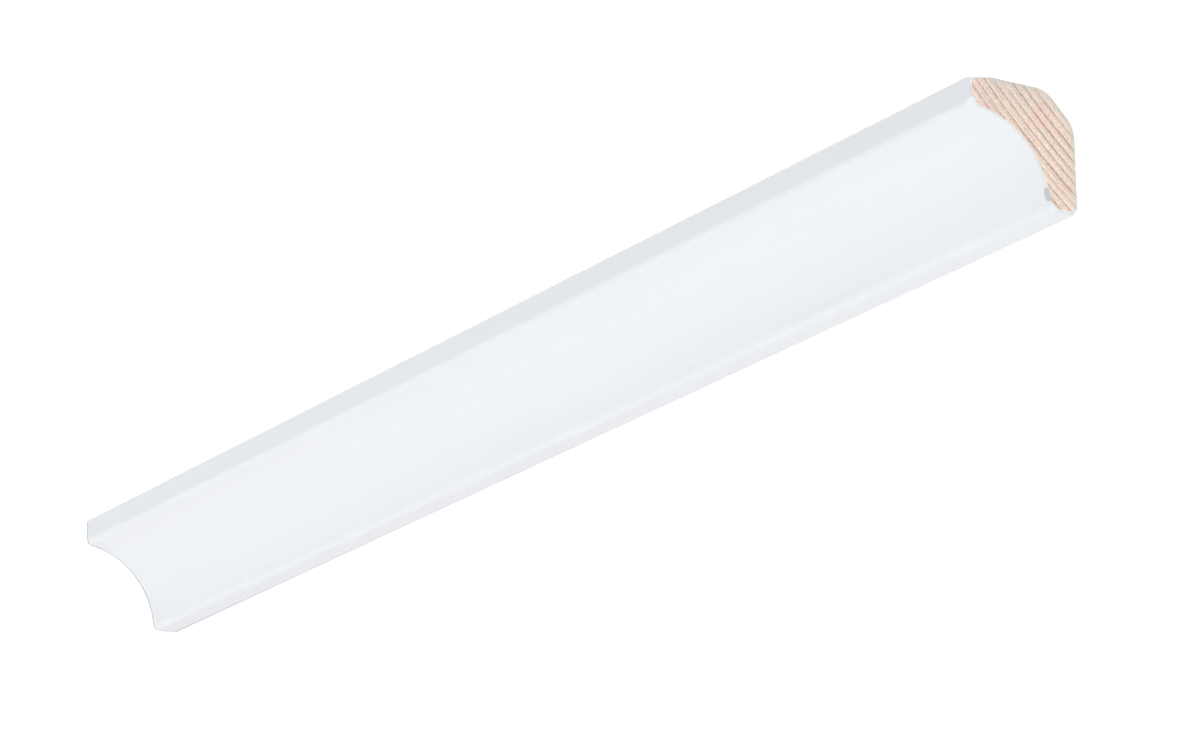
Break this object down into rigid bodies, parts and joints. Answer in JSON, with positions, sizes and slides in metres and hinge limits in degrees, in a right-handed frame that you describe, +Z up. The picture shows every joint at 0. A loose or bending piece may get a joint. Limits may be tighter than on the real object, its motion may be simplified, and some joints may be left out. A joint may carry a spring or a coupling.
{
  "type": "scotia moulding",
  "caption": "Short length of painted softwood scotia moulding: a square-legged stick with a hollow cove front, planed back corner and square-sawn ends, for covering an inside corner.",
  "frame": {"origin": "under the middle of the stick, on the surface that the base face rests on", "axes": "+X along the stick, towards the end shown nearest in the picture; +Y from the toe lip to the upright back face; +Z up, out of the base face"},
  "size_m": [0.3, 0.021, 0.021],
  "materials": {
    "painted_pine": "satin white paint on planed pine, bare sawn end grain"
  },
  "bodies": {
    "root": {"scotia_moulding": "painted_pine"}
  },
  "joints": []
}
